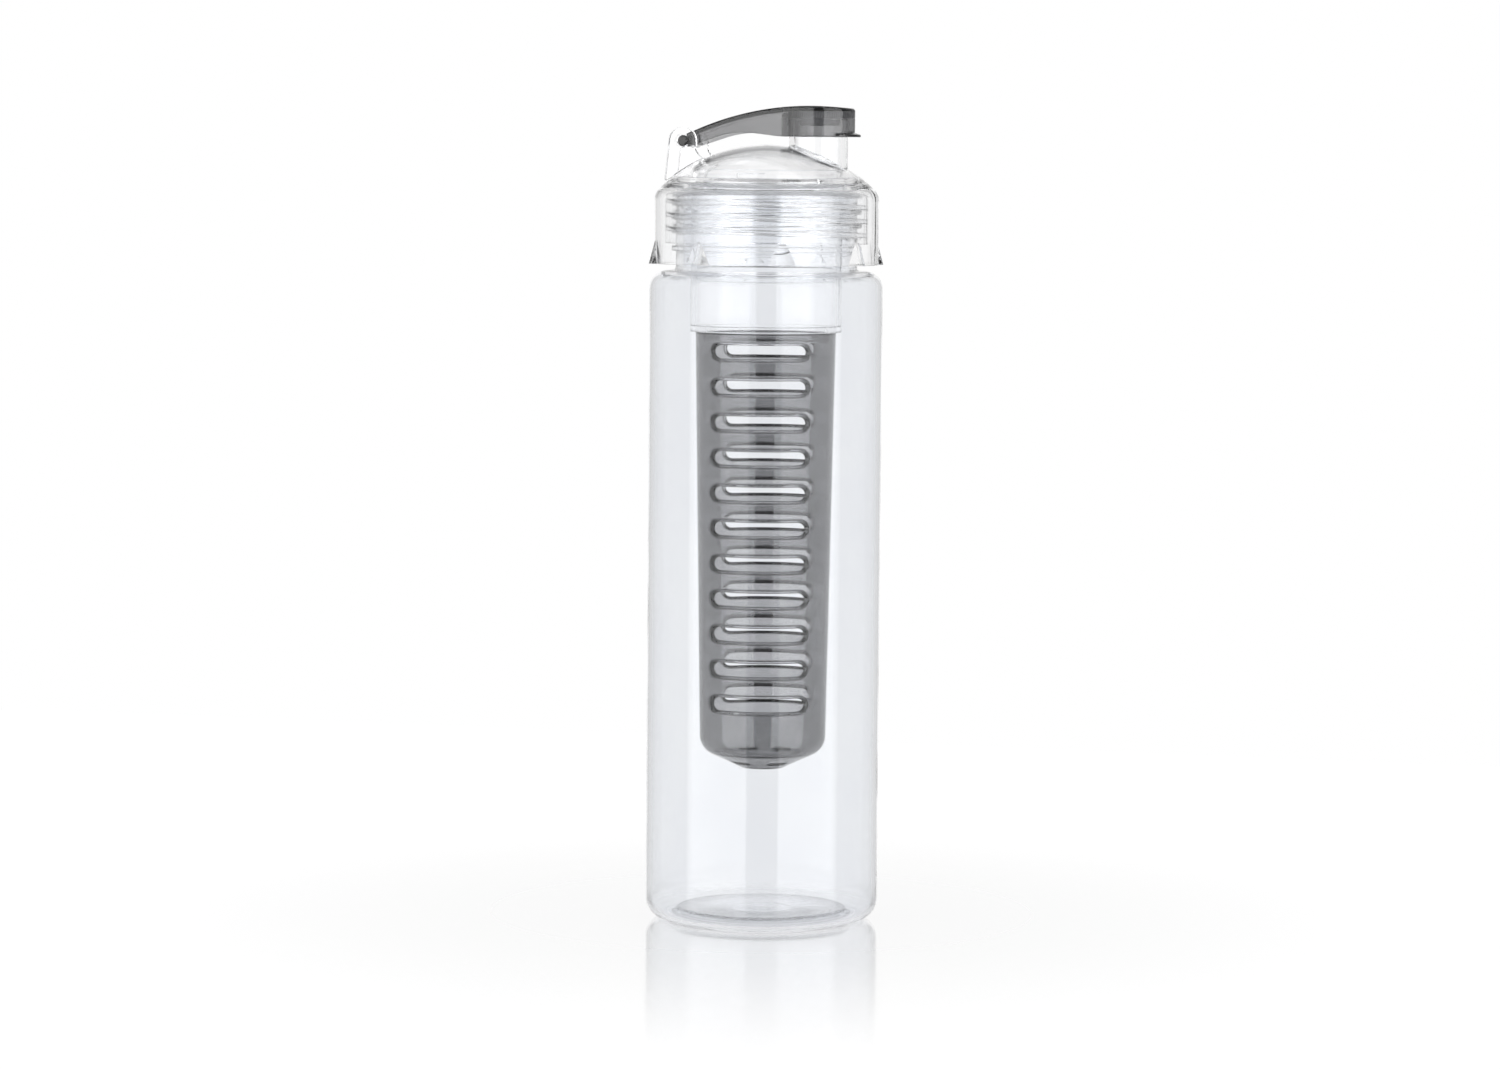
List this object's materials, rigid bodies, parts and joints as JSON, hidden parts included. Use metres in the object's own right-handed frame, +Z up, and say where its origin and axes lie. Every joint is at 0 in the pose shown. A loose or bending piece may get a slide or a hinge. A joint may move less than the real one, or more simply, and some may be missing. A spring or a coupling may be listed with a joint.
{
  "type": "fruit infuser water bottle",
  "caption": "Clear cylindrical drinking bottle with a screw cap, flip lid over a side spout, and a slotted smoke grey fruit basket hung inside from a clear collar.",
  "frame": {"origin": "centre of the foot, on the surface the bottle stands on", "axes": "+Z up along the bottle, +X towards the spout, -X towards the lid's hinge"},
  "size_m": [0.072, 0.072, 0.2516],
  "materials": {
    "clear_plastic": "clear, polished",
    "clear_cap_plastic": "clear, polished",
    "smoke_plastic": "smoke tint, polished",
    "silicone": "translucent, matt"
  },
  "bodies": {
    "bottle": {"bottle_body": "clear_plastic"},
    "gasket": {"neck_gasket": "silicone"},
    "cap": {"screw_cap": "clear_cap_plastic"},
    "lid": {"flip_lid": "smoke_plastic", "spout_seal": "silicone"},
    "collar": {"infuser_collar": "clear_plastic"},
    "basket": {"infuser_basket": "smoke_plastic"}
  },
  "joints": [
    {"name": "cap_lift", "type": "slide", "parent": "bottle", "child": "gasket", "axis": [0, 0, 1], "range_m": [0, 0.01063]},
    {"name": "cap_turn", "type": "hinge", "parent": "gasket", "child": "cap", "pos_m": [0, 0, 0.215], "axis": [0, 0, 1], "range_deg": [0, 900]},
    {"name": "lid_flip", "type": "hinge", "parent": "cap", "child": "lid", "pos_m": [-0.025, 0, 0.24079], "axis": [0, -1, 0], "range_deg": [0, 180]},
    {"name": "collar_twist", "type": "hinge", "parent": "cap", "child": "collar", "pos_m": [0, 0, 0.2268], "axis": [0, 0, 1], "range_deg": [0, 60]},
    {"name": "basket_pull", "type": "slide", "parent": "collar", "child": "basket", "axis": [0, 0, -1], "range_m": [0, 0.038]}
  ],
  "couplings": [
    {"joint": "cap_lift", "follows": "cap_turn", "m_per_rad": 0.00067641}
  ]
}
